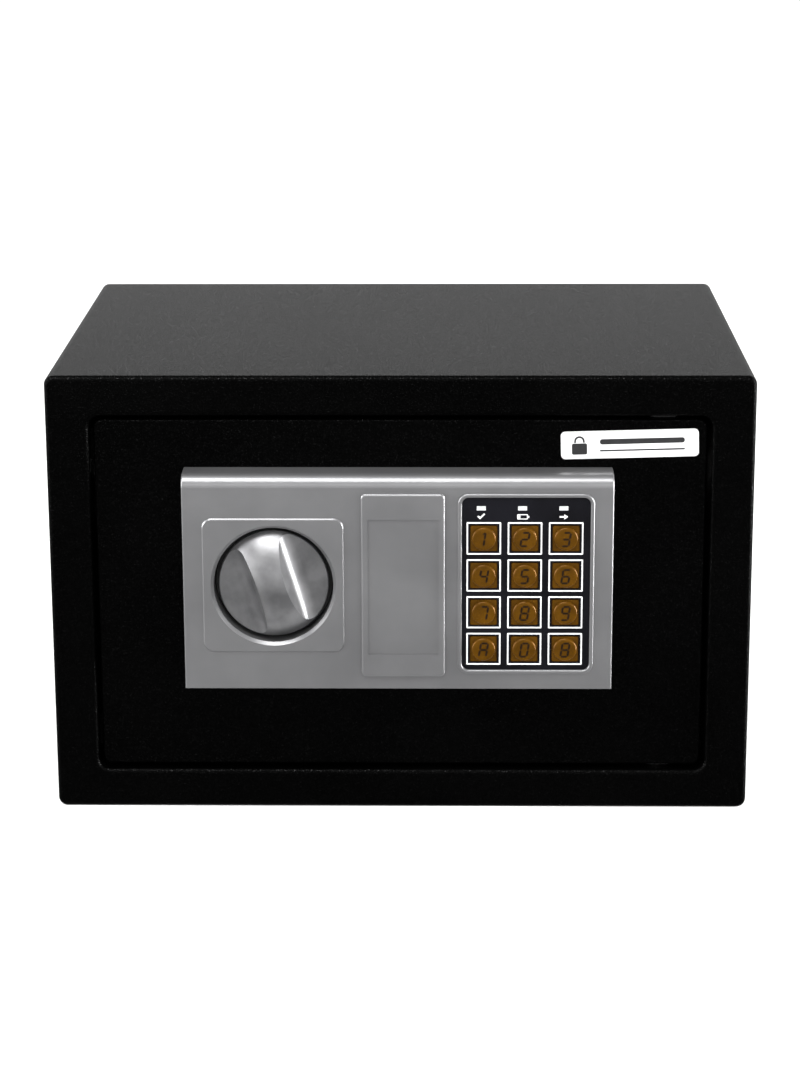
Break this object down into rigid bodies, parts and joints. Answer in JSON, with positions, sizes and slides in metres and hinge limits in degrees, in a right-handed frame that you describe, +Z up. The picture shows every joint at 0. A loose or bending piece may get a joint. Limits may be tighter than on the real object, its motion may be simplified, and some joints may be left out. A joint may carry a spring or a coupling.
{
  "type": "digital safe",
  "caption": "Small black sheet-steel safe: hinged door with a silver lock panel, turning knob, key cover over an emergency lock and a push-button keypad.",
  "frame": {"origin": "centre of the cabinet's base, on the surface it stands on", "axes": "+X to the right of a person facing the door, +Y from the door to the back, +Z up"},
  "size_m": [0.31, 0.2192, 0.2],
  "materials": {
    "black_powder_coat": "textured black powder coat",
    "felt": "charcoal felt",
    "silver_shell": "silver-grey paint, satin",
    "satin_chrome": "satin metallised",
    "zinc_steel": "zinc plated",
    "bright_steel": "turned and plated",
    "nylon": "natural nylon",
    "black_gloss": "printed film, semi-gloss",
    "lens_white": "diffusing white",
    "silicone": "matt silicone",
    "circuit_board": "green solder mask",
    "nameplate_silver": "bright silver",
    "lock_brass": "turned, dull nickel tint",
    "copper_winding": "enamelled copper under clear tape",
    "black_plastic": "fine moulded grain",
    "red_plastic": "glossy red",
    "cell_jacket": "printed jacket",
    "rubber_black": "matt",
    "lead_red": "matt",
    "amber_key": "translucent amber moulding"
  },
  "bodies": {
    "cabinet": {"cabinet_wrap": "black_powder_coat", "front_frame": "black_powder_coat", "back_panel": "black_powder_coat", "floor_mat": "felt", "door_stops": "black_powder_coat"},
    "door": {"door_plate": "black_powder_coat", "hinge_brackets": "zinc_steel", "hinge_pins": "zinc_steel", "hinge_spacers": "black_plastic", "lock_panel": "silver_shell", "panel_screws": "zinc_steel", "spindle_bush": "nylon", "keypad_overlay": "black_gloss", "indicator_lenses": "lens_white", "dome_mat": "silicone", "keypad_board": "circuit_board", "board_screws": "zinc_steel", "nameplate": "nameplate_silver", "override_lock_body": "lock_brass", "override_lock_nut": "zinc_steel", "bolt_guide": "zinc_steel", "guide_studs": "zinc_steel", "solenoid_frame": "zinc_steel", "solenoid_coil": "copper_winding", "plunger_spring": "zinc_steel", "inner_cover": "black_powder_coat", "cover_posts": "zinc_steel", "cover_screws": "zinc_steel", "battery_tray": "black_plastic", "batteries": "cell_jacket", "battery_contacts": "zinc_steel", "reset_switch": "black_plastic", "cable_grommet": "rubber_black", "battery_lead": "rubber_black", "solenoid_lead": "lead_red", "reset_lead": "lead_red"},
    "key_cover": {"key_cover": "silver_shell"},
    "knob": {"knob": "satin_chrome", "knob_spindle": "zinc_steel", "crank_disc": "zinc_steel"},
    "bolt_carriage": {"bolt_carriage": "zinc_steel", "locking_bolts": "bright_steel"},
    "plunger": {"solenoid_plunger": "zinc_steel", "release_arm": "zinc_steel"},
    "override_plug": {"override_lock_plug": "lock_brass", "override_cam": "zinc_steel"},
    "battery_lid": {"battery_lid": "black_plastic"},
    "reset_button": {"reset_button": "red_plastic"},
    "key_1": {"key_1": "amber_key"},
    "key_2": {"key_2": "amber_key"},
    "key_3": {"key_3": "amber_key"},
    "key_4": {"key_4": "amber_key"},
    "key_5": {"key_5": "amber_key"},
    "key_6": {"key_6": "amber_key"},
    "key_7": {"key_7": "amber_key"},
    "key_8": {"key_8": "amber_key"},
    "key_9": {"key_9": "amber_key"},
    "key_a": {"key_a": "amber_key"},
    "key_0": {"key_0": "amber_key"},
    "key_b": {"key_b": "amber_key"}
  },
  "joints": [
    {"name": "door_hinge", "type": "hinge", "parent": "cabinet", "child": "door", "pos_m": [0.1155, -0.0895, 0.1], "axis": [0, 0, 1], "range_deg": [0, 100]},
    {"name": "key_cover_pull", "type": "slide", "parent": "door", "child": "key_cover", "axis": [0, -1, 0], "range_m": [0, 0.025]},
    {"name": "knob_turn", "type": "hinge", "parent": "door", "child": "knob", "pos_m": [-0.0554, -0.1, 0.1087], "axis": [0, -1, 0], "range_deg": [0, 70]},
    {"name": "bolt_slide", "type": "slide", "parent": "door", "child": "bolt_carriage", "axis": [-1, 0, 0], "range_m": [0, 0.014]},
    {"name": "plunger_slide", "type": "slide", "parent": "door", "child": "plunger", "axis": [0, 0, 1], "range_m": [0, 0.007], "stiffness_N_per_m": 60, "deforming": ["plunger_spring"]},
    {"name": "override_turn", "type": "hinge", "parent": "door", "child": "override_plug", "pos_m": [0.00135, -0.09, 0.084], "axis": [0, 1, 0], "range_deg": [0, 90]},
    {"name": "battery_lid_slide", "type": "slide", "parent": "door", "child": "battery_lid", "axis": [-1, 0, 0], "range_m": [0, 0.045]},
    {"name": "reset_press", "type": "slide", "parent": "door", "child": "reset_button", "axis": [0, -1, 0], "range_m": [0, 0.0015], "stiffness_N_per_m": 400},
    {"name": "key_1_press", "type": "slide", "parent": "door", "child": "key_1", "axis": [0, 1, 0], "range_m": [0, 0.001], "stiffness_N_per_m": 400},
    {"name": "key_2_press", "type": "slide", "parent": "door", "child": "key_2", "axis": [0, 1, 0], "range_m": [0, 0.001], "stiffness_N_per_m": 400},
    {"name": "key_3_press", "type": "slide", "parent": "door", "child": "key_3", "axis": [0, 1, 0], "range_m": [0, 0.001], "stiffness_N_per_m": 400},
    {"name": "key_4_press", "type": "slide", "parent": "door", "child": "key_4", "axis": [0, 1, 0], "range_m": [0, 0.001], "stiffness_N_per_m": 400},
    {"name": "key_5_press", "type": "slide", "parent": "door", "child": "key_5", "axis": [0, 1, 0], "range_m": [0, 0.001], "stiffness_N_per_m": 400},
    {"name": "key_6_press", "type": "slide", "parent": "door", "child": "key_6", "axis": [0, 1, 0], "range_m": [0, 0.001], "stiffness_N_per_m": 400},
    {"name": "key_7_press", "type": "slide", "parent": "door", "child": "key_7", "axis": [0, 1, 0], "range_m": [0, 0.001], "stiffness_N_per_m": 400},
    {"name": "key_8_press", "type": "slide", "parent": "door", "child": "key_8", "axis": [0, 1, 0], "range_m": [0, 0.001], "stiffness_N_per_m": 400},
    {"name": "key_9_press", "type": "slide", "parent": "door", "child": "key_9", "axis": [0, 1, 0], "range_m": [0, 0.001], "stiffness_N_per_m": 400},
    {"name": "key_a_press", "type": "slide", "parent": "door", "child": "key_a", "axis": [0, 1, 0], "range_m": [0, 0.001], "stiffness_N_per_m": 400},
    {"name": "key_0_press", "type": "slide", "parent": "door", "child": "key_0", "axis": [0, 1, 0], "range_m": [0, 0.001], "stiffness_N_per_m": 400},
    {"name": "key_b_press", "type": "slide", "parent": "door", "child": "key_b", "axis": [0, 1, 0], "range_m": [0, 0.001], "stiffness_N_per_m": 400}
  ],
  "couplings": [
    {"joint": "knob_turn", "follows": "bolt_slide", "rad_per_m": 87.266}
  ]
}
